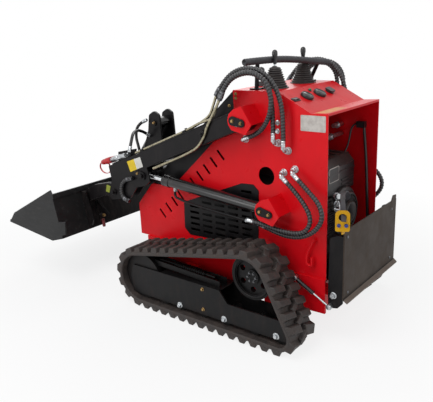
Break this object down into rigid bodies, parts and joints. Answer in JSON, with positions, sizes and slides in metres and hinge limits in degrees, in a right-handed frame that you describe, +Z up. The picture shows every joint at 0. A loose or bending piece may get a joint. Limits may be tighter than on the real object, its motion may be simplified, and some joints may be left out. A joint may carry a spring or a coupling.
{
  "type": "mini track loader",
  "caption": "Compact walk-behind track loader: red sheet-steel body on rubber tracks, lift arms with cylinders, tilting bucket and fold-down rear platform.",
  "frame": {"origin": "on the ground under the middle of the machine's whole length, on its middle plane", "axes": "+X forward towards the bucket, +Y the machine's left, +Z up"},
  "size_m": [2.0642, 1.04, 1.246],
  "materials": {
    "red_paint": "gloss powder coat",
    "black_paint": "satin powder coat",
    "bucket_paint": "satin paint, dusty",
    "engine_metal": "cast, dull",
    "black_plastic": "moulded, fine grain",
    "steel": "zinc plated",
    "zinc": "zinc plated tube",
    "chrome": "hard chrome",
    "track_rubber": "worn, dusty",
    "hose_rubber": "spiral guard",
    "yellow_paint": "gloss"
  },
  "bodies": {
    "body": {"chassis": "red_paint", "body_side_left": "red_paint", "body_side_right": "red_paint", "hood": "black_paint", "console": "red_paint", "side_grilles": "black_paint", "engine_block": "engine_metal", "engine_cover": "black_plastic", "recoil_starter": "black_plastic", "drive_sprockets": "black_paint", "arm_pivot_brackets": "red_paint", "cylinder_brackets": "red_paint", "pivot_pins": "steel", "pin_keepers": "black_paint", "grab_bar": "black_paint", "joysticks": "black_plastic", "small_levers": "black_plastic", "tie_down_hooks": "red_paint", "hose_bulkheads": "steel", "track_left": "track_rubber", "track_right": "track_rubber", "track_frame_left": "black_paint", "track_frame_right": "black_paint", "track_wheels_left": "black_paint", "track_wheels_right": "black_paint", "lift_hoses_left": "hose_rubber", "lift_hoses_right": "hose_rubber", "cylinder_hoses_left": "hose_rubber", "cylinder_hoses_right": "hose_rubber"},
    "arms": {"lift_arm_left": "black_paint", "lift_arm_right": "black_paint", "arm_crossmember": "black_paint", "tilt_tower": "black_paint", "arm_pins": "black_paint", "coupler_block": "steel", "tilt_hoses": "hose_rubber", "arm_pipes_left": "zinc", "arm_pipes_right": "zinc"},
    "bucket": {"quick_hitch": "black_paint", "hitch_levers": "red_paint", "bucket": "bucket_paint"},
    "lift_barrel_left": {"lift_barrel_left": "black_paint", "cylinder_pipes_left": "zinc"},
    "lift_barrel_right": {"lift_barrel_right": "black_paint", "cylinder_pipes_right": "zinc"},
    "lift_rod_left": {"lift_rod_left": "chrome"},
    "lift_rod_right": {"lift_rod_right": "chrome"},
    "tilt_barrel": {"tilt_barrel": "black_paint"},
    "tilt_rod": {"tilt_rod": "chrome"},
    "platform": {"platform_deck": "black_paint", "platform_frame": "black_paint", "platform_latch": "yellow_paint"},
    "strut_barrel_left": {"strut_barrel_left": "black_paint"},
    "strut_barrel_right": {"strut_barrel_right": "black_paint"},
    "strut_rod_left": {"strut_rod_left": "chrome"},
    "strut_rod_right": {"strut_rod_right": "chrome"}
  },
  "joints": [
    {"name": "arm_lift", "type": "hinge", "parent": "body", "child": "arms", "pos_m": [-0.5375, 0, 0.96], "axis": [0, -1, 0], "range_deg": [-10, 70], "deforming": ["lift_hoses_left", "lift_hoses_right"]},
    {"name": "lift_cylinder_swing_left", "type": "hinge", "parent": "body", "child": "lift_barrel_left", "pos_m": [-0.6675, 0.292, 0.579], "axis": [0, -1, 0], "range_deg": [-8, 50], "deforming": ["cylinder_hoses_left"]},
    {"name": "lift_cylinder_stroke_left", "type": "slide", "parent": "lift_barrel_left", "child": "lift_rod_left", "axis": [0.9956, 0, 0.0939], "range_m": [-0.05, 0.345]},
    {"name": "lift_cylinder_swing_right", "type": "hinge", "parent": "body", "child": "lift_barrel_right", "pos_m": [-0.6675, -0.292, 0.579], "axis": [0, -1, 0], "range_deg": [-8, 50], "deforming": ["cylinder_hoses_right"]},
    {"name": "lift_cylinder_stroke_right", "type": "slide", "parent": "lift_barrel_right", "child": "lift_rod_right", "axis": [0.9956, 0, 0.0939], "range_m": [-0.05, 0.345]},
    {"name": "bucket_tilt", "type": "hinge", "parent": "arms", "child": "bucket", "pos_m": [0.2975, 0, 0.535], "axis": [0, 1, 0], "range_deg": [-25, 40]},
    {"name": "tilt_cylinder_swing", "type": "hinge", "parent": "arms", "child": "tilt_barrel", "pos_m": [0.2275, 0, 0.868], "axis": [0, 1, 0], "range_deg": [-5, 7]},
    {"name": "tilt_cylinder_stroke", "type": "slide", "parent": "tilt_barrel", "child": "tilt_rod", "axis": [0.62, 0, -0.7846], "range_m": [-0.065, 0.102]},
    {"name": "platform_fold", "type": "hinge", "parent": "body", "child": "platform", "pos_m": [-0.9635, 0, 0.245], "axis": [0, -1, 0], "range_deg": [0, 90]},
    {"name": "strut_swing_left", "type": "hinge", "parent": "body", "child": "strut_barrel_left", "pos_m": [-0.7825, 0.275, 0.287], "axis": [0, -1, 0], "range_deg": [-12.5, 0]},
    {"name": "strut_stroke_left", "type": "slide", "parent": "strut_barrel_left", "child": "strut_rod_left", "axis": [-0.8692, 0, -0.4945], "range_m": [-0.068, 0]},
    {"name": "strut_swing_right", "type": "hinge", "parent": "body", "child": "strut_barrel_right", "pos_m": [-0.7825, -0.275, 0.287], "axis": [0, -1, 0], "range_deg": [-12.5, 0]},
    {"name": "strut_stroke_right", "type": "slide", "parent": "strut_barrel_right", "child": "strut_rod_right", "axis": [-0.8692, 0, -0.4945], "range_m": [-0.068, 0]}
  ],
  "couplings": [
    {"joint": "lift_cylinder_swing_left", "follows": "arm_lift", "ratio": 0.6982},
    {"joint": "lift_cylinder_stroke_left", "follows": "arm_lift", "m_per_rad": 0.2775},
    {"joint": "lift_cylinder_swing_right", "follows": "arm_lift", "ratio": 0.6982},
    {"joint": "lift_cylinder_stroke_right", "follows": "arm_lift", "m_per_rad": 0.2775},
    {"joint": "tilt_cylinder_swing", "follows": "bucket_tilt", "ratio": 0.1426},
    {"joint": "tilt_cylinder_stroke", "follows": "bucket_tilt", "m_per_rad": 0.1438},
    {"joint": "strut_swing_left", "follows": "platform_fold", "ratio": -0.1336},
    {"joint": "strut_stroke_left", "follows": "platform_fold", "m_per_rad": -0.0431},
    {"joint": "strut_swing_right", "follows": "platform_fold", "ratio": -0.1336},
    {"joint": "strut_stroke_right", "follows": "platform_fold", "m_per_rad": -0.0431}
  ]
}
